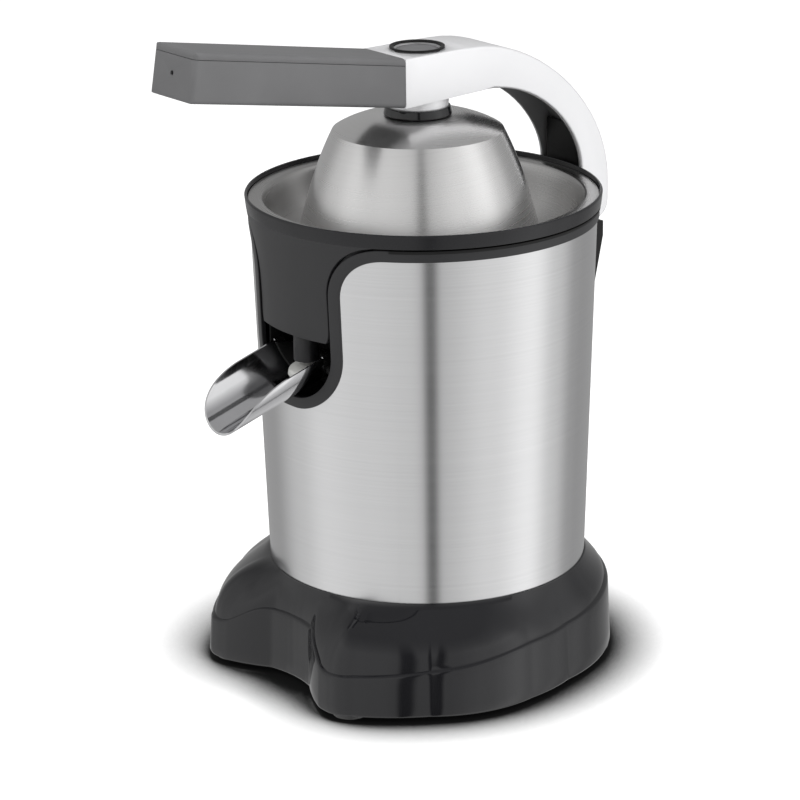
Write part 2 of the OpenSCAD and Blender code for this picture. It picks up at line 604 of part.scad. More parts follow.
// Inner side of the arm's roof, from the pocket over the dome to the hinge, set in by d
function arm_roof(d) = concat([[26, arm_top_z - d]], curve([26, arm_top_z - d], [58 - d / 2, arm_top_z - d],
    [hinge_y + 9.6 - d, 270], [hinge_y + 9.6 - d, 229], 18), [[hinge_y + 9.6 - d, hinge_z - 1]]);
channel = concat([[26, arm_low_z - 12]], arm_roof(roof), [[hinge_y + 9.6 - roof, 190], [60, 190]]);
module arm_casting() color("#dcdde0") difference() {
    union() {
        across(arm_w) polygon(arm_outline);
        translate([0, dome_y, arm_low_z - boss_h]) cylinder(r = 15, h = boss_h + 3.4);
        at_handle() translate([-12, -60, -7]) cube([24, 62, 10]);
    }
    across(arm_w - 2 * cheek) polygon(channel);
    // the rear wall ends above the hinge, so that it swings clear of the bracket
    translate([-arm_w / 2 + cheek, hinge_y - 20, 150]) cube([arm_w - 2 * cheek, 60, hinge_z - 150 + 0.5]);
    // pocket for the latch and the well of the button
    translate([-13, arm_front_y + 3, arm_low_z + 2.7]) cube([26, 40, 15]);
    translate([0, dome_y, 280]) cylinder(r = 8.1, h = 12, $fn = 64);
    translate([0, dome_y, 300]) cylinder(r = 11.3, h = 20);
    translate([0, dome_y, arm_top_z - 1]) cylinder(r = 13.6, h = 5);
    translate([-30, hinge_y, hinge_z]) rotate([0, 90, 0]) cylinder(r = 3 + fit, h = 60, $fn = 48);
    at_handle() for (y = screw_ys) translate([0, y, -20]) cylinder(r = 1.5, h = 40, $fn = 24);
}
module arm_lining() color("#3c3c3f") intersection() {
    across(arm_w - 2 * cheek - 0.2) polygon(arm_outline);
    difference() {
        across(arm_w - 2 * cheek - 0.2) polygon(concat([[26.2, arm_low_z - 12]], arm_roof(roof + 0.1),
            [[60, hinge_z]]));
        across(arm_w - 2 * cheek - 1.2) polygon(concat([[24, arm_low_z - 20]], [[24, arm_top_z - 9]],
            arm_roof(roof + 2.1), [[60, 200]]));
        translate([-far, -far, 0]) cube([2 * far, 2 * far, 236]);
    }
}
module at_handle() translate([0, arm_front_y, arm_top_z - handle_h / 2 + 0.1])
    rotate([-handle_tilt, 0, 0]) children();
// A rectangle from p to q with round corners
module round_rect(p, q, r) translate(p + [r, r]) offset(r = r, $fn = 32) square(q - p - [2 * r, 2 * r]);
// The handle's outside, cut upright where it meets the arm
module handle_form() intersection() {
    at_handle() rotate([90, 0, 0]) translate([0, 0, -10]) linear_extrude(handle_len + 10)
        round_rect([-arm_w / 2, -handle_h / 2], [arm_w / 2, handle_h / 2], 2.4);
    at_handle() across(arm_w + 10) round_rect([-handle_len, -handle_h / 2], [20, handle_h / 2], 2.2);
    at_handle() translate([0, 0, -far / 2]) linear_extrude(far)
        round_rect([-arm_w / 2, -handle_len], [arm_w / 2, 20], 3);
    translate([-far, -far - 0.15 + arm_front_y, 0]) cube([2 * far, far, 2 * far]);
}
parting = handle_h / 2 - 3.6;                // height of the seam between the handle's halves
screw_ys = [-22, -48];
module handle_lower() color("#3d3d3f") difference() {
    handle_form();
    at_handle() {
        translate([-far / 2, -far, parting]) cube([far, 2 * far, 40]);
        translate([-arm_w / 2 + 2.6, -handle_len + 2.8, -handle_h / 2 + 2.6])
            cube([arm_w - 5.2, handle_len + 20, handle_h]);
        translate([0, -handle_len - 1, 0]) rotate([-90, 0, 0]) cylinder(r = 1.2, h = 8, $fn = 24);
        for (y = screw_ys) translate([0, y, -handle_h / 2 - 1]) {
            cylinder(r = 3.5, h = 2.4, $fn = 32);
            cylinder(r = 1.9, h = 6, $fn = 24);
        }
    }
}
module handle_upper() color("#454547") difference() {
    handle_form();
    at_handle() {
        translate([-far / 2, -far, parting + 0.25 - 60]) cube([far, 2 * far, 60]);
        translate([-arm_w / 2 + 2.6, -handle_len + 2.8, -handle_h / 2])
            cube([arm_w - 5.2, handle_len + 20, handle_h - 2.4]);
    }
}
module handle_screws() color("#9a9a9a") at_handle() for (y = screw_ys) translate([0, y, -handle_h / 2 + 0.2]) {
    cylinder(r = 3.2, h = 1.2, $fn = 32);
    cylinder(r = 1.4, h = 12, $fn = 24);
}

// ---------- dome, latch and button ----------

module at_dome(z = 0) translate([0, dome_y, z]) children();
function dome_side(d) = curve([dome_r - d, dome_z], [dome_r - 4.3 - d, dome_z + 19],
    [shoulder_r + 9 - d, shoulder_z - 17.8], [shoulder_r - d, shoulder_z - d * 0.3], 10);
function dome_cap(d) = curve([shoulder_r - d, shoulder_z - d * 0.3],
    [shoulder_r - 4.5 - d, shoulder_z + 3 - d], [shoulder_r - 13, dome_top_z - 1.2 - d], [24, dome_top_z - 0.5 - d], 6);
function backwards(points) = [for (i = [len(points) - 1:-1:0]) points[i]];
module press_dome() color("#c4c4c6") at_dome() rotate_extrude($fn = 144) polygon(concat(
    dome_side(0), dome_cap(0), [[8.1, dome_top_z + 0.2], [8.1, dome_top_z - 0.9]],
    backwards(dome_cap(1)), backwards(dome_side(1))));
module dome_liner() color("#8d8d90") at_dome() {
    rotate_extrude($fn = 96) polygon(concat(dome_side(1.4), dome_cap(1.4),
        [[8.1, dome_top_z - 1.5], [8.1, dome_top_z - 3.4]],
        backwards(dome_cap(3.2)), backwards(dome_side(3.2))));
    for (i = [0:11]) rotate(i * 30) translate([0, 1, 0]) rotate([90, 0, 0]) linear_extrude(2)
        polygon(concat(dome_side(3), backwards(dome_side(5.4))));
}
module dome_collar() color("#161618") at_dome() difference() {
    translate([0, 0, dome_top_z + 0.2]) cylinder(r1 = 16.9, r2 = 15.6, h = arm_low_z - boss_h - 0.2 - dome_top_z);
    cylinder(r = 8.1, h = 400);
}
// The neck of the dome, with the groove that the latch holds
module dome_spigot() color("#a8aaad") at_dome() rotate_extrude() polygon([[0, dome_top_z - 7],
    [6, dome_top_z - 7], [6, dome_top_z - 3.4], [8, dome_top_z - 3.4], [8, 292.8], [5, 292.8],
    [5, 296.4], [8, 296.4], [7, 298], [0, 298]]);
module dome_nut() color("#9a9a9a") at_dome() difference() {
    translate([0, 0, dome_top_z - 7]) cylinder(r = 11, h = 3.4, $fn = 6);
    cylinder(r = 6.02, h = 400);
}
module dome_latch() color("#b5b5b5") translate([0, dome_y, 293.5]) difference() {
    translate([-11.5, -13.2, 0]) cube([23, 25.7, 2]);
    translate([0, 3, -1]) cylinder(r = 8.3, h = 10);
    translate([-2.9, -8.4, -1]) cube([5.8, 4, 10]);
}
button_z = arm_top_z - 0.4;
module release_button() color("#8a8a8c") at_dome() {
    difference() {
        translate([0, 0, button_z - 4]) cylinder(r = 11, h = 4);
        translate([0, 0, button_z + 56]) sphere(r = 56.7, $fn = 96);
    }
    // wedge that pushes the latch forward
    rotate([90, 0, 90]) linear_extrude(5, center = true)
        polygon([[-10.7, button_z - 3.5], [-8.3, button_z - 3.5], [-8.3, 295.7], [-10.7, 298.1]]);
}

base_shell();
base_plate();
rubber_feet();
base_screws();
cord_gland();
sleeve();
window_trim();
spout_pocket();
chassis();
rear_bracket();
bracket_post();
bracket_screws();
hinge_pin();
juice_bowl();
bowl_liner();
strainer();
shaft_seal();
motor_case();
motor_cap();
stator_core();
stator_coils();
motor_bushes();
motor_screws();
gear_case();
gear_lid();
idler_axle();
output_bush();
switch_body();
return_spring();
output_gear();
drive_shaft();
press_cone();
idler_gear();
rotor_core();
rotor_shaft();
motor_pinion();
motor_fan();
switch_plunger();
spout_chute();
spout_yoke();
drip_pad();
arm_casting();
arm_lining();
handle_lower();
handle_upper();
handle_screws();
dome_collar();
dome_spigot();
press_dome();
dome_liner();
dome_nut();
release_button();
dome_latch();
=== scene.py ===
import json
import math

import bmesh
import bpy
import numpy as np
from mathutils import Matrix, Vector

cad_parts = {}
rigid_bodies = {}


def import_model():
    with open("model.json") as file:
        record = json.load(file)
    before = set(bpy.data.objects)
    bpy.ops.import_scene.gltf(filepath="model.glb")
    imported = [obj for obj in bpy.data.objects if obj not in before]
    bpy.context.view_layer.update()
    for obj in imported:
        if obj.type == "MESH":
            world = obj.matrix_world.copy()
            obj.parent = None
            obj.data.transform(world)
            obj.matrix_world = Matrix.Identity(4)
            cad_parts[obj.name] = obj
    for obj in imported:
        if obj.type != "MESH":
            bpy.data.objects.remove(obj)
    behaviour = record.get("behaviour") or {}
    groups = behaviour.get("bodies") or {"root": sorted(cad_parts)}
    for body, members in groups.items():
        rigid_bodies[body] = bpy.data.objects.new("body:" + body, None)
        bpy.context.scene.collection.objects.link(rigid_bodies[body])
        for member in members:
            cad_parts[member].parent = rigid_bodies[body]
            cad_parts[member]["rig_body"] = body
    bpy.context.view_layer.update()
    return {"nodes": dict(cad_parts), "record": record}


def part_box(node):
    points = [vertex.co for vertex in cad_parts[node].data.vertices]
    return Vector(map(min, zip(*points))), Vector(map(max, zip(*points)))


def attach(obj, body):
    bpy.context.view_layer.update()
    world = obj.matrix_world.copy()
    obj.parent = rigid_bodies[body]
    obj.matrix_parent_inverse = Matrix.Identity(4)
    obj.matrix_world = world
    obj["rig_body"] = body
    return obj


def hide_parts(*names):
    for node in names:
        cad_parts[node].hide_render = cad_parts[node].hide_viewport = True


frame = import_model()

MM = 0.001
NODES = frame["nodes"]
scene = bpy.context.scene


def box_mm(node):
    """Lowest and highest corner of a CAD node, in millimetres."""
    low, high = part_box(node)
    return low / MM, high / MM


# Sizes read from the frame, in millimetres
RIM_Z = box_mm("juice_bowl")[1].z
RIM_R = box_mm("juice_bowl")[1].x
SLEEVE_LOW, SLEEVE_TOP = box_mm("sleeve")[0].z, box_mm("sleeve")[1].z
TRIM_TOP = SLEEVE_TOP + 0.3
DOME_LOW, DOME_HIGH = box_mm("press_dome")
DOME_Y = (DOME_LOW.y + DOME_HIGH.y) / 2
DOME_R = (DOME_HIGH.y - DOME_LOW.y) / 2
DOME_Z = DOME_LOW.z
ARM_TOP = box_mm("arm_casting")[1].z
ARM_HALF = box_mm("arm_casting")[1].x
COLLAR_LOW, COLLAR_HIGH = box_mm("dome_collar")
BASE_FOOT = box_mm("base_shell")[0].z
APRON_Z = 181.3
SLEEVE_R_LOW, SLEEVE_R_HIGH = 79.6, 85.6
WINDOW_HALF, WINDOW_Z, WINDOW_CORNER, FLARE_R = 27.2, 151.0, 24.0, 27.3
FLARE_X = WINDOW_HALF + FLARE_R
FLARE_Z = TRIM_TOP + 0.6 - FLARE_R
TRIM_W = 6.3


# ---------- materials ----------

# Most of a noise texture's values lie between these
NOISE_LOW, NOISE_HIGH = 0.3, 0.7


def add_node(tree, kind, inputs=(), **values):
    """A new node. inputs gives its sockets a value each, or another node's output."""
    made = tree.nodes.new(kind)
    for key, value in values.items():
        setattr(made, key, value)
    for key, value in dict(inputs).items():
        if isinstance(value, bpy.types.NodeSocket):
            tree.links.new(value, made.inputs[key])
        else:
            made.inputs[key].default_value = value
    return made


class Nodes:
    """Short calls for building a material's node tree."""

    def __init__(self, name):
        self.material = bpy.data.materials.new(name)
        self.material.use_nodes = True
        self.tree = self.material.node_tree
        self.shader = self.tree.nodes["Principled BSDF"]
        self.coords = self.tree.nodes.new("ShaderNodeTexCoord").outputs["Object"]

    def node(self, kind, inputs=(), **values):
        return add_node(self.tree, kind, inputs, **values)

    def noise(self, vector, scale, detail=3.0, roughness=0.55):
        made = self.node("ShaderNodeTexNoise", {"Vector": vector, "Scale": scale,
                                                "Detail": detail, "Roughness": roughness})
        return made.outputs["Fac"]

    def stretched(self, x, y, z):
        made = self.node("ShaderNodeMapping", {"Vector": self.coords, "Scale": (x, y, z)})
        return made.outputs["Vector"]

    def spread(self, fac, low, high, low_from=NOISE_LOW, high_from=NOISE_HIGH):
        made = self.node("ShaderNodeMapRange", {"Value": fac, "From Min": low_from,
                                                "From Max": high_from,
                                                "To Min": low, "To Max": high})
        return made.outputs["Result"]

    def blend(self, fac, low, high):
        ramp = self.node("ShaderNodeValToRGB", {"Fac": fac})
        ramp.color_ramp.elements[0].position = NOISE_LOW
        ramp.color_ramp.elements[1].position = NOISE_HIGH
        ramp.color_ramp.elements[0].color = (*low, 1)
        ramp.color_ramp.elements[1].color = (*high, 1)
        return ramp.outputs["Color"]

    def link(self, output, socket):
        self.tree.links.new(output, self.shader.inputs[socket])

    def bump(self, height, strength, distance):
        made = self.node("ShaderNodeBump", {"Height": height, "Strength": strength,
                                            "Distance": distance})
        self.link(made.outputs["Normal"], "Normal")


def tint(color, share):
    return tuple(min(1.0, c * share) for c in color)


def plastic(name, color, roughness, grain=900.0, bump=0.12, depth=0.00004, vary=0.05, shade=0.1,
            specular=0.5):
    """Moulded plastic, rubber or paint: fine grain, with faint unevenness in gloss and colour."""
    n = Nodes(name)
    cloud = n.noise(n.coords, 24.0, 4.0)
    fine = n.noise(n.coords, grain, 2.0)
    n.link(n.blend(cloud, tint(color, 1 - shade), tint(color, 1 + shade)), "Base Color")
    n.link(n.spread(cloud, roughness - vary, roughness + vary), "Roughness")
    n.bump(fine, bump, depth)
    n.shader.inputs["Specular IOR Level"].default_value = specular
    return n.material


def metal(name, color, roughness, streak, bump, vary=0.05, shade=0.06, spin=0.0, rings=0.0):
    """Metal brushed along streaks that are long where the stretch is small.
    spin is the anisotropy around Z, and rings adds streaks that circle Z."""
    n = Nodes(name)
    vector = n.stretched(*streak)
    if rings:
        split = n.node("ShaderNodeSeparateXYZ", {"Vector": n.coords})
        flat = n.node("ShaderNodeCombineXYZ", {"X": split.outputs["X"], "Y": split.outputs["Y"]})
        radius = n.node("ShaderNodeVectorMath", {0: flat.outputs["Vector"]}, operation="LENGTH")
        turned = n.node("ShaderNodeMath", {0: radius.outputs["Value"], 1: rings},
                        operation="MULTIPLY")
        lift = n.node("ShaderNodeCombineXYZ", {"Z": turned.outputs["Value"]})
        vector = n.node("ShaderNodeVectorMath", {0: vector, 1: lift.outputs["Vector"]},
                        operation="ADD").outputs["Vector"]
    lines = n.noise(vector, 1.0, 5.0, 0.6)
    cloud = n.noise(n.coords, 18.0, 3.0)
    n.link(n.blend(lines, tint(color, 1 - shade), tint(color, 1 + shade)), "Base Color")
    both = n.node("ShaderNodeMath", {0: lines, 1: cloud}, operation="ADD")
    # the sum of two noises lies mostly between 0.7 and 1.3
    gloss = n.spread(both.outputs["Value"], roughness - vary, roughness + vary, 0.7, 1.3)
    n.link(gloss, "Roughness")
    n.bump(lines, bump, 0.00002)
    n.shader.inputs["Metallic"].default_value = 1.0
    if spin:
        n.shader.inputs["Anisotropic"].default_value = spin
        n.shader.inputs["Anisotropic Rotation"].default_value = 0.25
        turn = n.node("ShaderNodeTangent", direction_type="RADIAL", axis="Z")
        n.link(turn.outputs["Tangent"], "Tangent")
    return n.material


BODY_STEEL = metal("steel_brushed_body", (0.72, 0.72, 0.725), 0.21, (5, 5, 2600), 0.010,
                   vary=0.02, shade=0.03, spin=0.7)
DOME_STEEL = metal("steel_brushed_dome", (0.78, 0.775, 0.77), 0.28, (6, 6, 1800), 0.003,
                   vary=0.015, shade=0.02, spin=0.6, rings=1800.0)
LINER_STEEL = metal("steel_satin_liner", (0.45, 0.445, 0.44), 0.28, (8, 8, 1200), 0.02,
                    vary=0.04, shade=0.04, spin=0.4, rings=1200.0)
MIRROR_STEEL = metal("steel_polished", (0.72, 0.72, 0.73), 0.10, (60, 60, 60), 0.05,
                     vary=0.04, shade=0.04)
ZINC = metal("steel_zinc", (0.52, 0.53, 0.55), 0.32, (200, 200, 200), 0.1)
BRASS = metal("brass_turned", (0.66, 0.50, 0.25), 0.30, (200, 200, 900), 0.1)
COPPER = metal("copper_wound", (0.72, 0.36, 0.20), 0.34, (300, 300, 2200), 0.6)
CORE = metal("steel_stacked", (0.34, 0.34, 0.36), 0.42, (30, 30, 2600), 0.5)
GLOSS_BLACK = plastic("plastic_gloss_black", (0.005, 0.005, 0.006), 0.045, 260.0, 0.004,
                      depth=0.00002, vary=0.012, specular=0.58)
SATIN_BLACK = plastic("plastic_satin_black", (0.014, 0.014, 0.015), 0.34, 1500.0, 0.08,
                      depth=0.00003, specular=0.42)
DEEP_BLACK = plastic("plastic_deep_black", (0.006, 0.006, 0.006), 0.45, 1200.0, 0.12, specular=0.2)
RIM_BLACK = plastic("plastic_rim_black", (0.007, 0.007, 0.008), 0.22, 900.0, 0.04, 0.00003, 0.04,
                    specular=0.4)
SOFT_GREY = plastic("soft_touch_grey", (0.088, 0.088, 0.090), 0.50, 2400.0, 0.25, 0.00003, 0.04)
BUTTON_GREY = plastic("plastic_button_grey", (0.095, 0.095, 0.098), 0.40, 1800.0, 0.15)
ARM_SILVER = plastic("paint_pearl_silver", (0.70, 0.70, 0.71), 0.34, 2600.0, 0.06,
                     depth=0.00002, vary=0.04, shade=0.02)
ARM_SILVER.node_tree.nodes["Principled BSDF"].inputs["Metallic"].default_value = 0.55
LINING = plastic("plastic_lining_grey", (0.17, 0.17, 0.172), 0.40, 1500.0, 0.12)
PAD_GREY = plastic("silicone_grey", (0.52, 0.52, 0.50), 0.46, 1400.0, 0.1)
SEAL_RED = plastic("silicone_seal", (0.17, 0.05, 0.03), 0.5)
RUBBER = plastic("rubber_black", (0.06, 0.06, 0.06), 0.36, 1400.0, 0.15)
GEAR_WHITE = plastic("nylon_natural", (0.72, 0.70, 0.64), 0.42)
FAN_BLUE = plastic("nylon_fan", (0.10, 0.20, 0.34), 0.4)
SWITCH_RED = plastic("plastic_switch", (0.40, 0.05, 0.04), 0.4)
INNER_GREY = plastic("plastic_inner_grey", (0.12, 0.12, 0.125), 0.5)

SLOT_MATERIALS = {
    "gloss_black": GLOSS_BLACK, "satin_black": SATIN_BLACK, "deep_black": DEEP_BLACK,
    "soft_grey": SOFT_GREY, "button_grey": BUTTON_GREY, "brushed_body": BODY_STEEL,
    "brushed_dome": DOME_STEEL, "satin_steel": LINER_STEEL, "polished_steel": MIRROR_STEEL,
    "silver_paint": ARM_SILVER, "lining_grey": LINING, "seal_grey": PAD_GREY,
    "rubber_black": RUBBER, "seal_red": SEAL_RED, "zinc_steel": ZINC, "brass": BRASS,
    "copper": COPPER, "core_steel": CORE, "gear_white": GEAR_WHITE, "fan_blue": FAN_BLUE,
    "switch_red": SWITCH_RED, "inner_grey": INNER_GREY,
}
SUBPART_SLOTS = {s["node"]: s.get("material_slot")
                 for s in frame["record"].get("subparts", []) if "node" in s}


# ---------- shapes ----------

# Faces of a CAD node that meet at less than this many degrees are one flat face
FLAT = 0.6


def fillet(points, radius, steps=4):
    """Rounds the corners of a closed outline.
    radius is one number, or one for each corner; 0 keeps a corner."""
    count = len(points)
    radii = radius if isinstance(radius, (list, tuple)) else [radius] * count
    out = []
    for i in range(count):
        before, here, after = (np.array(points[(i + k) % count], float) for k in (-1, 0, 1))
        a, b = before - here, after - here
        la, lb = np.linalg.norm(a), np.linalg.norm(b)
        a, b = a / la, b / lb
        half = math.acos(max(-1, min(1, float(a @ b)))) / 2
        if radii[i] <= 0 or half > 1.5:
            out.append(tuple(here))
            continue
        cut = min(radii[i] / math.tan(half), 0.45 * la, 0.45 * lb)
        start, end = here + a * cut, here + b * cut
        for k in range(steps + 1):
            t = k / steps
            out.append(tuple((1 - t) ** 2 * start + 2 * t * (1 - t) * here + t * t * end))
    return out


def bezier(a, b, c, d, count=16):
    """Points of a cubic curve from a to d with handles b and c."""
    a, b, c, d = (np.array(p, float) for p in (a, b, c, d))
    out = []
    for i in range(count + 1):
        t = i / count
        s = 1 - t
        out.append(tuple(s ** 3 * a + 3 * s * s * t * b + 3 * s * t * t * c + t ** 3 * d))
    return out


def finish_piece(name, mesh, material, body, replaces, sharp):
    """Shades the mesh, makes its object, paints it, and lets it ride on its body."""
    mesh.validate()
    work = bmesh.new()
    work.from_mesh(mesh)
    bmesh.ops.remove_doubles(work, verts=work.verts, dist=0.000002)
    bmesh.ops.recalc_face_normals(work, faces=work.faces)
    for face in work.faces:
        face.smooth = True
    for edge in work.edges:
        edge.smooth = len(edge.link_faces) != 2 or edge.calc_face_angle(0) < math.radians(sharp)
    work.to_mesh(mesh)
    work.free()
    mesh.materials.clear()
    mesh.materials.append(material)
    made = bpy.data.objects.new(name, mesh)
    scene.collection.objects.link(made)
    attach(made, body)
    if replaces:
        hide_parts(*replaces)
    return made


def piece(name, points, faces, material, body, replaces, sharp):
    """A new piece from points in millimetres and faces."""
    mesh = bpy.data.meshes.new(name)
    mesh.from_pydata([tuple(np.array(p, float) * MM) for p in points], [], faces)
    return finish_piece(name, mesh, material, body, replaces, sharp)


def grid_faces(rows, columns, close_rows=False, close_columns=False, start=0):
    """Quads of a grid whose points run row by row."""
    faces = []
    for i in range(rows if close_rows else rows - 1):
        for j in range(columns if close_columns else columns - 1):
            k, m = (i + 1) % rows, (j + 1) % columns
            faces.append((start + i * columns + j, start + i * columns + m,
                          start + k * columns + m, start + k * columns + j))
    return faces


def lathe(name, outline, material, body, replaces, centre_y=0.0, count=192, sharp=35.0):
    """Turns a closed outline in radius and height round the upright axis at centre_y."""
    points = []
    for k in range(count):
        a = 2 * math.pi * k / count
        points += [(r * math.sin(a), centre_y - r * math.cos(a), z) for r, z in outline]
    faces = grid_faces(count, len(outline), True, True)
    piece(name, points, faces, material, body, replaces, sharp)


def loft(name, loops, material, body, replaces, closed=False, sharp=35.0):
    """Joins loops of equal length. An open loft gets flat ends."""
    count = len(loops[0])
    faces = grid_faces(len(loops), count, closed, True)
    if not closed:
        last = (len(loops) - 1) * count
        faces += [tuple(range(count)), tuple(reversed(range(last, last + count)))]
    points = [p for loop in loops for p in loop]
    piece(name, points, faces, material, body, replaces, sharp)


def refined(node, bevel, material=None, angle=38.0, first=None):
    """A copy of a CAD node with its flat faces joined and its edges rounded, which stands for
    the node. first is (width, test): edges whose two ends pass the test are rounded first."""
    source = NODES[node]
    work = bmesh.new()
    work.from_mesh(source.data)
    bmesh.ops.remove_doubles(work, verts=work.verts, dist=0.000004)
    bmesh.ops.dissolve_limit(work, angle_limit=math.radians(FLAT), use_dissolve_boundaries=False,
                             verts=work.verts, edges=work.edges)

    def bent():
        return [e for e in work.edges if len(e.link_faces) == 2
                and e.calc_face_angle(0) > math.radians(angle)]

    if first:
        width, test = first
        chosen = [e for e in bent() if all(test(*(v.co / MM)) for v in e.verts)]
        bmesh.ops.bevel(work, geom=chosen, offset=width * MM, offset_type="OFFSET", segments=4,
                        profile=0.5, affect="EDGES", clamp_overlap=False)
    bmesh.ops.bevel(work, geom=bent(), offset=bevel * MM, offset_type="OFFSET", segments=2,
                    profile=0.5, affect="EDGES", clamp_overlap=True)
    mesh = bpy.data.meshes.new(node + "_fine")
    work.to_mesh(mesh)
    work.free()
    slot = SUBPART_SLOTS.get(node)
    finish_piece(node + "_fine", mesh, material or SLOT_MATERIALS[slot], source["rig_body"],
                 (node,), 30.0)


def solid_sheet(rows, columns, outer, inner):
    """A closed shell from two grids of the same size, row by row."""
    size = rows * columns
    faces = grid_faces(rows, columns)
    faces += [tuple(reversed(f)) for f in grid_faces(rows, columns, start=size)]
    edge = list(range(columns)) + [i * columns + columns - 1 for i in range(1, rows)]
    edge += [(rows - 1) * columns + j for j in range(columns - 2, -1, -1)]
    edge += [i * columns for i in range(rows - 2, 0, -1)]
    for k, here in enumerate(edge):
        after = edge[(k + 1) % len(edge)]
        faces.append((here, here + size, after + size, after))
    return list(outer) + list(inner), faces


def add_bevel(made, width, angle):
    """Rounds the edges where two faces meet at more than angle degrees."""
    mod = made.modifiers.new("edges", "BEVEL")
    mod.width = width * MM
    mod.segments = 3
    mod.limit_method = "ANGLE"
    mod.angle_limit = math.radians(angle)
    mod.harden_normals = False


# ---------- base ----------

# The moulding's plan comes from the CAD node's lower edge
base_points = np.array([v.co for v in NODES["base_shell"].data.vertices], float) / MM
base_low = base_points[base_points[:, 2] < BASE_FOOT + 0.2]
COLUMNS = 432
angles = np.arctan2(base_low[:, 0], -base_low[:, 1])
radii = np.hypot(base_low[:, 0], base_low[:, 1])
keep = radii > 0.985 * np.array([radii[np.abs(angles - a) < 0.05].max() for a in angles])
order = np.argsort(angles[keep])
plan_angles, plan_radii = angles[keep][order], radii[keep][order]


def base_column(angle):
    """The moulding's section in the direction angle from the front, as radius and height."""
    edge = float(np.interp(angle, plan_angles, plan_radii, period=2 * math.pi))
    x, y = edge * math.sin(angle), -edge * math.cos(angle)
    ridge = 31 + 0.0787 * y + 2.2 * math.exp(-((y + 22) / 28) ** 2) * min(1, abs(x) / 80)
    if y < 0:
        t = max(0.0, min(1.0, (46 - abs(x)) / 27))
        ridge += 10.5 * t * t * (3 - 2 * t)
    # how far the moulding stands out past the foot of the sleeve
    reach = edge - 80.4
    turn = min(1.9, 0.3 * reach)
    top = (80.3, SLEEVE_LOW)
    outer = [(edge - 1.6, BASE_FOOT), (edge - 0.5, BASE_FOOT + 0.3), (edge, BASE_FOOT + 1.4)]
    lean = min(1.2, 0.1 * reach)
    for k in range(1, 6):
        t = k / 5
        outer.append((edge - lean * t,
                      BASE_FOOT + 1.4 + (ridge - turn * 0.9 - BASE_FOOT - 1.4) * t))
    here = outer[-1]
    crown = (edge - lean - turn, ridge + 0.12 * turn)
    outer += bezier(here, (here[0] - 0.1, here[1] + turn * 0.55),
                    (crown[0] + turn * 0.5, crown[1] - turn * 0.14), crown, 6)[1:]
    run, rise = crown[0] - top[0], top[1] - crown[1]
    swell = max(0.0, min(1.0, (reach - 12) / 20)) ** 2
    outer += bezier(crown, (crown[0] - run * 0.06, crown[1] + rise * (0.30 + 0.25 * swell)),
                    (top[0] + run * 0.55, top[1] - rise * (0.56 - 0.40 * swell)), top, 14)[1:]
    inner = [(78.2, SLEEVE_LOW - 0.4), (77.6, SLEEVE_LOW - 3), (crown[0] - 3.2, crown[1] - 2.6),
             (edge - lean - 3, ridge - turn - 1), (edge - 2.6, BASE_FOOT)]
    return outer + inner


loops = []
for k in range(COLUMNS):
    turned = 2 * math.pi * k / COLUMNS - math.pi
    loops.append([(r * math.sin(turned), -r * math.cos(turned), z) for r, z in base_column(turned)])
loft("base_moulding", loops, GLOSS_BLACK, "housing", ("base_shell",),
     closed=True, sharp=60)


# ---------- sleeve, window and rim ----------

def sleeve_r(z):
    """The sleeve's outer radius at a height."""
    return (SLEEVE_R_LOW
            + (z - SLEEVE_LOW) * (SLEEVE_R_HIGH - SLEEVE_R_LOW) / (SLEEVE_TOP - SLEEVE_LOW))


def sleeve_point(place, out):
    """The point at a place (x, z, angle), moved out of the sleeve by out.
    The angle is taken from the front's middle; where it is None, x says where the point is."""
    x, z, a = place
    r = sleeve_r(z) + out
    if a is None:
        return (x, -math.sqrt(max(0.0, r * r - x * x)), z)
    return (r * math.sin(a), -r * math.cos(a), z)


def window_path(d):
    """The window's outline, larger by d and closed behind the sleeve, as places."""
    per_arc, around = 20, 110
    side = []
    corner_x, corner_z = WINDOW_HALF - WINDOW_CORNER, WINDOW_Z + WINDOW_CORNER
    r = WINDOW_CORNER + d
    for k in range(4):
        side.append((corner_x * k / 4, corner_z - r))
    for k in range(per_arc + 1):
        a = math.radians(-90 + 90 * k / per_arc)
        side.append((corner_x + r * math.cos(a), corner_z + r * math.sin(a)))
    for k in range(1, 8):
        side.append((WINDOW_HALF + d, corner_z + (FLARE_Z - corner_z) * k / 8))
    r = FLARE_R - d
    for k in range(per_arc + 1):
        a = math.radians(180 - 90 * k / per_arc)
        side.append((FLARE_X + r * math.cos(a), FLARE_Z + r * math.sin(a)))
    top = FLARE_Z + FLARE_R - d
    start = math.asin(FLARE_X / (sleeve_r(top) + 0.5))
    right = [(x, z, None) for x, z in side]
    back = [(0, top, start + (2 * math.pi - 2 * start) * k / around) for k in range(1, around)]
    left = [(-x, z, None) for x, z in reversed(side[1:])]
    return right + back + left


# The trim: its section runs from the window's edge to the outer edge, rounded outside
section = fillet([(0.6, -1.6), (0.6, 1.0), (TRIM_W, 1.0), (TRIM_W, 0.06), (3.0, 0.06), (3.0, -1.6)],
                 [0.1, 0.7, 0.8, 0.0, 0.0, 0.0], 4)
paths = {}
loops = []
for d, out in section:
    paths.setdefault(round(d, 4), window_path(d))
for i in range(len(next(iter(paths.values())))):
    loops.append([sleeve_point(paths[round(d, 4)][i], out) for d, out in section])
loft("window_trim_band", loops, SATIN_BLACK, "housing", ("window_trim",),
     closed=True, sharp=50)

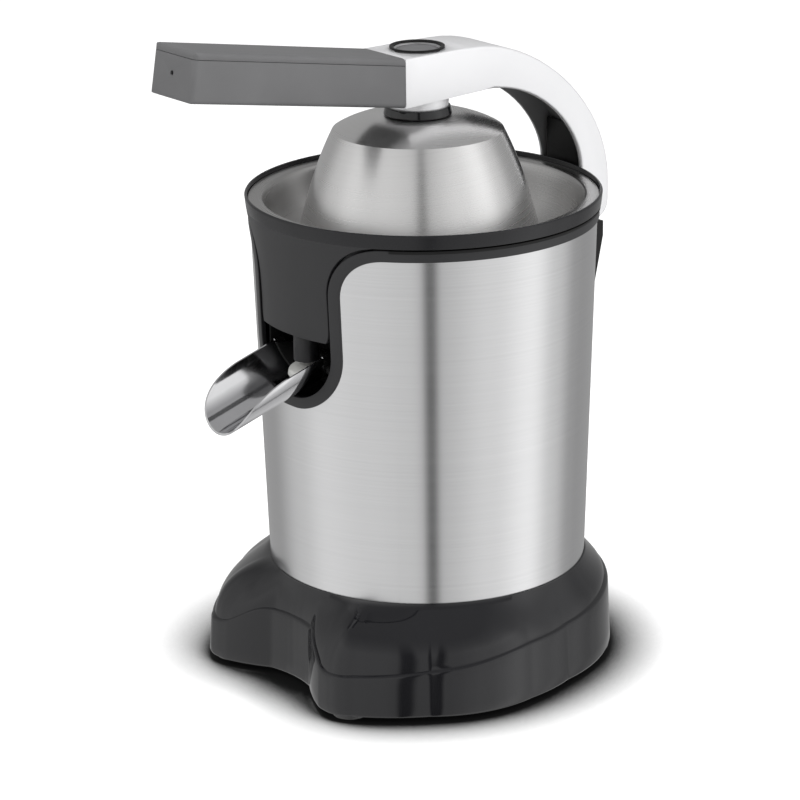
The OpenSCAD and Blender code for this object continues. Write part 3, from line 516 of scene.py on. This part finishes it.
# The flange under the bowl's rim, open where the apron stands
flange = fillet([(84.4, TRIM_TOP - 0.9), (86.2, TRIM_TOP - 2.0), (RIM_R - 1, TRIM_TOP - 0.9),
                 (RIM_R - 1, TRIM_TOP), (84.4, TRIM_TOP)], [0.0, 0.4, 0.3, 0.3, 0.0], 3)
flange_start = math.asin(FLARE_X / 86.0) + 0.02
loops = []
FLANGE_STEPS = 160
for k in range(FLANGE_STEPS + 1):
    a = flange_start + (2 * math.pi - 2 * flange_start) * k / FLANGE_STEPS
    loops.append([(r * math.sin(a), -r * math.cos(a), z) for r, z in flange])
loft("rim_flange", loops, DEEP_BLACK, "housing", ())

# The steel sleeve: upright columns that end at the window's edge, under the trim
SHARED_Z = 140.0
edge_d = 2.8
corner_x, corner_z = WINDOW_HALF - WINDOW_CORNER, WINDOW_Z + WINDOW_CORNER
corner_r = WINDOW_CORNER + edge_d
side_x = WINDOW_HALF + edge_d
low_steps, mid_steps, high_steps = 26, 10, 18
sleeve_columns = []
for k in range(-24, 25):
    x = side_x * math.sin(math.pi / 2 * k / 24)
    over = abs(x) - corner_x
    top = corner_z - (math.sqrt(max(0.0, corner_r ** 2 - over * over)) if over > 0 else corner_r)
    sleeve_columns.append((x, top, None))
outer_columns = []
for k in range(13):
    a = math.radians(180 - 90 * k / 12)
    x = FLARE_X + (FLARE_R - edge_d) * math.cos(a)
    outer_columns.append((x, FLARE_Z + (FLARE_R - edge_d) * math.sin(a), None))
high_z = FLARE_Z + FLARE_R - edge_d
begin = math.asin(FLARE_X / sleeve_r(high_z))
for k in range(1, 144):
    outer_columns.append((0, high_z, begin + (2 * math.pi - 2 * begin) * k / 144))
outer_columns += [(-x, z, None) for x, z, _ in reversed(outer_columns[:13])]


def sleeve_column(place, levels, wall):
    """A column of the sleeve, which keeps its x or its angle at every height."""
    x, _, a = place
    return [sleeve_point((x, z, a), -wall) for z in levels]


def levels_of(place, high):
    """Heights of a column's points. Columns beside and behind the window go on past its corner."""
    low = list(np.linspace(SLEEVE_LOW, SHARED_Z, low_steps + 1))
    if high:
        low += list(np.linspace(SHARED_Z, corner_z, mid_steps + 1))[1:]
        return low + list(np.linspace(corner_z, place[1], high_steps + 1))[1:]
    return low + list(np.linspace(SHARED_Z, place[1], mid_steps + 1))[1:]


sleeve_points, sleeve_faces = [], []
for columns, high in ((sleeve_columns, False), (outer_columns, True)):
    rows = low_steps + mid_steps + 1 + (high_steps if high else 0)
    outer = [p for c in columns for p in sleeve_column(c, levels_of(c, high), 0)]
    inner = [p for c in columns for p in sleeve_column(c, levels_of(c, high), 0.8)]
    start, size = len(sleeve_points), len(columns) * rows
    sleeve_points += outer + inner
    sleeve_faces += grid_faces(len(columns), rows, start=start)
    sleeve_faces += [tuple(reversed(f)) for f in grid_faces(len(columns), rows, start=start + size)]
    for i in range(len(columns) - 1):
        for j in (0, rows - 1):
            a, b = start + i * rows + j, start + (i + 1) * rows + j
            sleeve_faces.append((a, b, b + size, a + size))
    if high:
        for i in (0, len(columns) - 1):
            for j in range(low_steps + mid_steps, rows - 1):
                a, b = start + i * rows + j, start + i * rows + j + 1
                sleeve_faces.append((a, b, b + size, a + size))
piece("steel_sleeve", sleeve_points, sleeve_faces, BODY_STEEL, "housing", ("sleeve",),
      50)


# ---------- bowl, liner and dome ----------

def apron_r(z):
    """The apron's outer radius, which flares up to the bowl's rim."""
    t = max(0.0, (z - APRON_Z) / (RIM_Z - 0.8 - APRON_Z))
    return 84.2 + (RIM_R - 84.2) * t ** 1.8


rim_low = TRIM_TOP + 0.7
ledge = RIM_Z - 3
rim = fillet([(81.6, rim_low), (apron_r(rim_low), rim_low), (RIM_R, RIM_Z - 0.8),
              (RIM_R - 0.5, RIM_Z), (RIM_R - 1.3, RIM_Z), (RIM_R - 1.6, ledge), (81.6, ledge)],
             [0, 0.4, 0.6, 0.35, 0.35, 0, 0.2])
lathe("bowl_rim", rim, RIM_BLACK, "housing", ("juice_bowl",), count=256)
nozzle_low = box_mm("juice_bowl")[0].z
bowl_floor = nozzle_low + 22.7
bowl_wall = [(5.4, bowl_floor - 2.5), (79.4, bowl_floor - 2.5), (82.9, rim_low + 0.1),
             (81.5, rim_low + 0.1), (77.6, bowl_floor), (11.5, bowl_floor + 1),
             (11.5, bowl_floor + 18.5), (5.4, bowl_floor + 18.5)]
lathe("bowl_wall", bowl_wall, SATIN_BLACK, "housing", ("juice_bowl",))
NOZZLE_Y = -73.5
nozzle_top = nozzle_low + 21
nozzle = fillet([(4.2, nozzle_low), (6.3, nozzle_low), (6.3, nozzle_top), (4.2, nozzle_top)], 0.5)
lathe("bowl_nozzle", nozzle, SATIN_BLACK, "housing", ("juice_bowl",),
      centre_y=NOZZLE_Y, count=64)

# The apron: rows of even height across the upper window
APRON_STEPS = 60
apron_rows = [APRON_Z + (rim_low + 0.5 - APRON_Z) * k / 34 for k in range(35)]


def apron_half(z):
    """Half of the apron's width at a height, a little inside the window's edge."""
    if z <= FLARE_Z:
        return WINDOW_HALF - 0.6
    reach = (FLARE_R + 0.6) ** 2 - (z - FLARE_Z) ** 2
    return FLARE_X - math.sqrt(max(4.0, reach))


def apron_grid(wall):
    points = []
    for k, z in enumerate(apron_rows):
        half = apron_half(z)
        if k < 4:
            half -= 1.6 * (1 - k / 4) ** 2
        r = apron_r(z) - wall
        for j in range(APRON_STEPS + 1):
            x = half * (2 * j / APRON_STEPS - 1)
            points.append((x, -math.sqrt(r * r - x * x), z))
    return points


points, faces = solid_sheet(len(apron_rows), APRON_STEPS + 1, apron_grid(0), apron_grid(1.9))
apron = piece("bowl_apron", points, faces, SATIN_BLACK, "housing", ("juice_bowl",),
              50)
add_bevel(apron, 0.55, 50)

# The outlet's sections: y, half of the width, lowest and highest z
OUTLET = [(-82.0, 9.5, 182.2, 191.4), (-76.0, 10.0, 181.9, 191.9), (-66.0, 10.0, 181.9, 191.9)]
outlet = []
for y, half, low, high in OUTLET:
    corners = fillet([(-half, low), (half, low), (half, high), (-half, high)], 1.2)
    outlet.append([(x, y, z) for x, z in corners])
loft("bowl_outlet", outlet, SATIN_BLACK, "housing", ("juice_bowl",))

upper = bezier((80.2, ledge + 0.8), (76.6, ledge + 0.2), (77.4, 222), (66, 210.6), 22)
under = bezier((81.0, ledge + 0.1), (77.4, ledge - 0.4), (78.2, 221.4), (66.6, 209.9), 22)
liner = [(86, ledge + 0.1), (86, ledge + 0.8), *upper, (55, 206.4), (54.2, 206.4),
         (54.2, 205.6), (55.2, 205.6), *reversed(under)]
lathe("bowl_liner_steel", liner, LINER_STEEL, "housing", ("bowl_liner",),
      count=256)

SHOULDER_R, SHOULDER_Z = 42.0, 269.8
DOME_TOP = SHOULDER_Z + 7.4
NECK_R = 8.1


def dome_line(d):
    """The dome's outline from its rim to the top, moved in by d."""
    shoulder = (SHOULDER_R - d, SHOULDER_Z - d * 0.3)
    side = bezier((DOME_R - d, DOME_Z), (DOME_R - 4.3 - d, DOME_Z + 19),
                  (SHOULDER_R + 9 - d, SHOULDER_Z - 17.8), shoulder, 30)
    cap = bezier(shoulder, (SHOULDER_R - 4.5 - d, SHOULDER_Z + 3 - d),
                 (SHOULDER_R - 13, DOME_TOP - 1.2 - d), (24, DOME_TOP - 0.5 - d), 16)
    return side + cap[1:]


dome = [*dome_line(0), (NECK_R, DOME_TOP + 0.2), (NECK_R, DOME_TOP - 0.9),
        *reversed(dome_line(1.0))]
lathe("dome_shell", dome, DOME_STEEL, "lever", ("press_dome",), DOME_Y, 256, 14)
collar_r = COLLAR_HIGH.x
boss_low = COLLAR_HIGH.z
collar = fillet([(NECK_R, COLLAR_LOW.z), (collar_r, COLLAR_LOW.z), (collar_r - 0.9, boss_low),
                 (NECK_R, boss_low)], [0, 0.7, 0.5, 0])
lathe("dome_collar_ring", collar, GLOSS_BLACK, "lever", ("dome_collar",),
      DOME_Y, 128)

# The silver boss under the arm, which stands on the collar
boss_high = boss_low + 5.9
boss = fillet([(8.2, boss_low + 0.1), (15.1, boss_low + 0.1), (15.5, boss_high), (8.2, boss_high)],
              [0, 0.6, 0, 0])
lathe("arm_boss", boss, ARM_SILVER, "lever", (), DOME_Y, 128)


# ---------- arm, handle and button ----------

def on_cheek(x, y, _):
    """Whether a point lies on one of the arm's flat sides, behind the handle."""
    return abs(x) > ARM_HALF - 0.05 and y > -22.5


refined("arm_casting", 0.3, first=(1.3, on_cheek))
refined("arm_lining", 0.25)
for half in ("handle_lower", "handle_upper"):
    refined(half, 0.25)
refined("release_button", 0.5, angle=50)
# The dark ring in the arm's recess, round the button
well = ARM_TOP - 1.0
ring = fillet([(11.35, well + 0.05), (13.5, well + 0.05), (13.5, ARM_TOP + 0.1),
               (12.6, ARM_TOP + 0.1), (11.35, ARM_TOP - 0.5)], [0, 0, 0.2, 0.25, 0.2])
lathe("button_ring", ring, DEEP_BLACK, "lever", (), DOME_Y, 128)
for node in ("rear_bracket", "bracket_post"):
    refined(node, 0.6, DEEP_BLACK)
for node in ("hinge_pin", "cord_gland", "rubber_feet", "spout_yoke", "drip_pad"):
    refined(node, 0.45)
refined("spout_pocket", 0.3)
refined("handle_screws", 0.15)


# ---------- spout ----------

CHUTE_Y, CHUTE_Z, CHUTE_SLOPE = -79.0, 174.5, math.radians(16.5)
CHUTE_R, CHUTE_LONG = 19.0, 56.5
CHUTE_ROWS, CHUTE_STEPS, HORN_STEPS = 60, 48, 8
lip = [(0.0, -2.0), *bezier((-24, -2), (-40, -3), (-50, -9), (-CHUTE_LONG, -21.0), 60)]
lip_y = [-p[0] for p in lip]
lip_z = [p[1] for p in lip]


def chute_point(along, across, radius, top):
    """A point of the trough: across runs from -1 to 1 between its edges, which lie at top."""
    turn = across * math.acos(max(-1.0, min(1.0, -top / radius)))
    y, z = -along, -radius * math.cos(turn)
    return (radius * math.sin(turn),
            CHUTE_Y + y * math.cos(CHUTE_SLOPE) - z * math.sin(CHUTE_SLOPE),
            CHUTE_Z + y * math.sin(CHUTE_SLOPE) + z * math.cos(CHUTE_SLOPE))


def chute_grid(radius):
    points = []
    for i in range(CHUTE_ROWS + 1):
        along = (CHUTE_LONG - 0.6) * math.sin(math.pi / 2 * i / CHUTE_ROWS)
        top = min(float(np.interp(along, lip_y, lip_z)), -2.0)
        points += [chute_point(along, 2 * j / CHUTE_STEPS - 1, radius, top)
                   for j in range(CHUTE_STEPS + 1)]
    return points


def horn_grid(radius, side):
    """One of the two horns behind the trough, from the trough's end to the horn's tip."""
    points = []
    for i in range(HORN_STEPS + 1):
        back = 5.4 * i / HORN_STEPS
        high, low = -1.5 + 0.02 * back, -2.8 - 0.48 * back
        for j in range(HORN_STEPS + 1):
            top = high + (low - high) * j / HORN_STEPS
            share = math.acos(-top / radius) / math.acos(2.0 / radius)
            points.append(chute_point(-back, side * share, radius, -2.0))
    return points


points, faces = solid_sheet(CHUTE_ROWS + 1, CHUTE_STEPS + 1, chute_grid(CHUTE_R + 1),
                            chute_grid(CHUTE_R))
for side in (1, -1):
    more, more_faces = solid_sheet(HORN_STEPS + 1, HORN_STEPS + 1, horn_grid(CHUTE_R + 1, side),
                                   horn_grid(CHUTE_R, side))
    faces += [tuple(i + len(points) for i in f) for f in more_faces]
    points += more
chute = piece("spout_steel", points, faces, MIRROR_STEEL, "spout", ("spout_chute",),
              60)
add_bevel(chute, 0.4, 60)


# ---------- the rest of the CAD nodes keep their shape and get their finish ----------

for name, node in NODES.items():
    if node.hide_render:
        continue
    slot = SUBPART_SLOTS.get(name)
    node.data.materials.clear()
    node.data.materials.append(SLOT_MATERIALS.get(slot, INNER_GREY))
    for polygon in node.data.polygons:
        polygon.material_index = 0


# ---------- studio ----------

def stage_plane(name, size, z, material):
    mesh = bpy.data.meshes.new(name)
    s = size / 2
    mesh.from_pydata([(-s, -s, z), (s, -s, z), (s, s, z), (-s, s, z)], [], [(0, 1, 2, 3)])
    mesh.materials.append(material)
    made = bpy.data.objects.new(name, mesh)
    scene.collection.objects.link(made)
    return made


def floor_material():
    """White paper that glows a little, with a painted contact shadow: an ambient occlusion node
    darkens its colour and glow where something stands close over it.
    """
    n = Nodes("studio_floor")
    # Painted contact shadow: the ambient occlusion share is 1 in the open and falls towards 0 close
    # under the object, and it darkens the floor's colour and glow
    painted_shadow_ao = n.node("ShaderNodeAmbientOcclusion", {"Distance": 0.042}, samples=16)
    painted_shadow_lit_share = n.spread(painted_shadow_ao.outputs["AO"], 0.0, 1.0, 0.60, 0.985)
    paper = n.noise(n.coords, 60.0)
    tone = n.node("ShaderNodeMath", {0: painted_shadow_lit_share, 1: n.spread(paper, 0.445, 0.455)},
                  operation="MULTIPLY")
    color = n.node("ShaderNodeCombineXYZ", {axis: tone.outputs["Value"] for axis in "XYZ"})
    n.link(color.outputs["Vector"], "Base Color")
    glow = n.node("ShaderNodeCombineXYZ", {axis: painted_shadow_lit_share for axis in "XYZ"})
    n.link(glow.outputs["Vector"], "Emission Color")
    n.shader.inputs["Emission Strength"].default_value = 0.7
    n.shader.inputs["Roughness"].default_value = 0.8
    return n.material


floor = stage_plane("studio_floor", 14.0, 0.0, floor_material())
floor.visible_glossy = False

world = bpy.data.worlds.new("studio")
scene.world = world
world.use_nodes = True
tree = world.node_tree
tree.nodes.clear()


def add(kind, inputs=(), **values):
    return add_node(tree, kind, inputs, **values)


direction = add("ShaderNodeSeparateXYZ", {"Vector": add("ShaderNodeTexCoord").outputs["Generated"]})
front = add("ShaderNodeMath", {0: direction.outputs["Y"], 1: -1.0}, operation="MULTIPLY")
around = add("ShaderNodeMath", {0: direction.outputs["X"], 1: front.outputs["Value"]},
             operation="ARCTAN2")
turn = add("ShaderNodeMapRange", {"Value": around.outputs["Value"], "From Min": -math.pi,
                                  "From Max": math.pi})
bands = add("ShaderNodeValToRGB", {"Fac": turn.outputs["Result"]})
bands.color_ramp.interpolation = "EASE"
# Direction round the object from the front in degrees, and brightness: the lit sides, the dark
# gap that the base mirrors, and the dim rear
STUDIO = [(-180, 0.42), (-84, 0.44), (-50, 0.8), (-27, 1.02), (10, 0.92), (43, 0.84),
          (49, 0.76), (53, 0.12), (57, 0.12), (62, 0.74), (98, 1.02), (130, 1.34),
          (152, 0.86), (174, 0.46)]
ramp = bands.color_ramp
while len(ramp.elements) < len(STUDIO):
    ramp.elements.new(1.0)
for element, (degrees, _) in zip(ramp.elements, STUDIO):
    element.position = (degrees + 180) / 360
for element, (_, level) in zip(ramp.elements, STUDIO):
    element.color = (level, level, level, 1)
OVERHEAD = (0.44, 0.44, 0.445, 1)
height = add("ShaderNodeMapRange", {"Value": direction.outputs["Z"], "From Min": 0.60,
                                    "From Max": 0.92})
# 6, 7 and output 2 are the mix node's color sockets
sky = add("ShaderNodeMix", {0: height.outputs["Result"], 6: bands.outputs["Color"], 7: OVERHEAD},
          data_type="RGBA")
light = add("ShaderNodeBackground", {"Color": sky.outputs[2], "Strength": 0.85})
add("ShaderNodeOutputWorld", {"Surface": light.outputs["Background"]})


MIDDLE_Z = 0.16


def softbox(name, azimuth, elevation, distance, width, height, power):
    """A rectangular soft light that faces the object's middle. Azimuth is from the front."""
    lamp = bpy.data.lights.new(name, "AREA")
    lamp.shape = "RECTANGLE"
    lamp.size, lamp.size_y = width, height
    lamp.energy = power
    made = bpy.data.objects.new(name, lamp)
    a, e = math.radians(azimuth), math.radians(elevation)
    back = Vector((math.sin(a) * math.cos(e), -math.cos(a) * math.cos(e), math.sin(e)))
    made.location = Vector((0, 0, MIDDLE_Z)) + back * distance
    made.rotation_mode = "QUATERNION"
    made.rotation_quaternion = (-back).to_track_quat("-Z", "Y")
    made.visible_glossy = False
    scene.collection.objects.link(made)


softbox("key_right", 105, 34, 1.9, 1.1, 1.3, 26)
softbox("fill_left", -20, 30, 2.1, 1.0, 1.4, 14)
softbox("top_box", 40, 80, 1.8, 1.6, 1.2, 25)


# ---------- camera ----------

AZIMUTH, YAW, DOWN, ROLL = (math.radians(v) for v in (51.5, 0.4555, 18.389, -0.7607))
DISTANCE, HEIGHT = 1.61671, 0.66718
heading = AZIMUTH + YAW
forward = Vector((-math.sin(heading) * math.cos(DOWN), math.cos(heading) * math.cos(DOWN),
                  -math.sin(DOWN)))
right = Vector((math.cos(heading), math.sin(heading), 0))
up = right.cross(forward)
axis_x = right * math.cos(ROLL) + up * math.sin(ROLL)
axis_y = up * math.cos(ROLL) - right * math.sin(ROLL)
lens = bpy.data.cameras.new("photo_camera")
lens.lens, lens.sensor_width = 153.0, 36.0
lens.clip_start, lens.clip_end = 0.05, 40.0
camera = bpy.data.objects.new("photo_camera", lens)
scene.collection.objects.link(camera)
camera.matrix_world = Matrix((
    (axis_x.x, axis_y.x, -forward.x, math.sin(AZIMUTH) * DISTANCE),
    (axis_x.y, axis_y.y, -forward.y, -math.cos(AZIMUTH) * DISTANCE),
    (axis_x.z, axis_y.z, -forward.z, HEIGHT),
    (0, 0, 0, 1)))
scene.camera = camera
scene.view_settings.view_transform = "Standard"
scene.view_settings.look = "None"
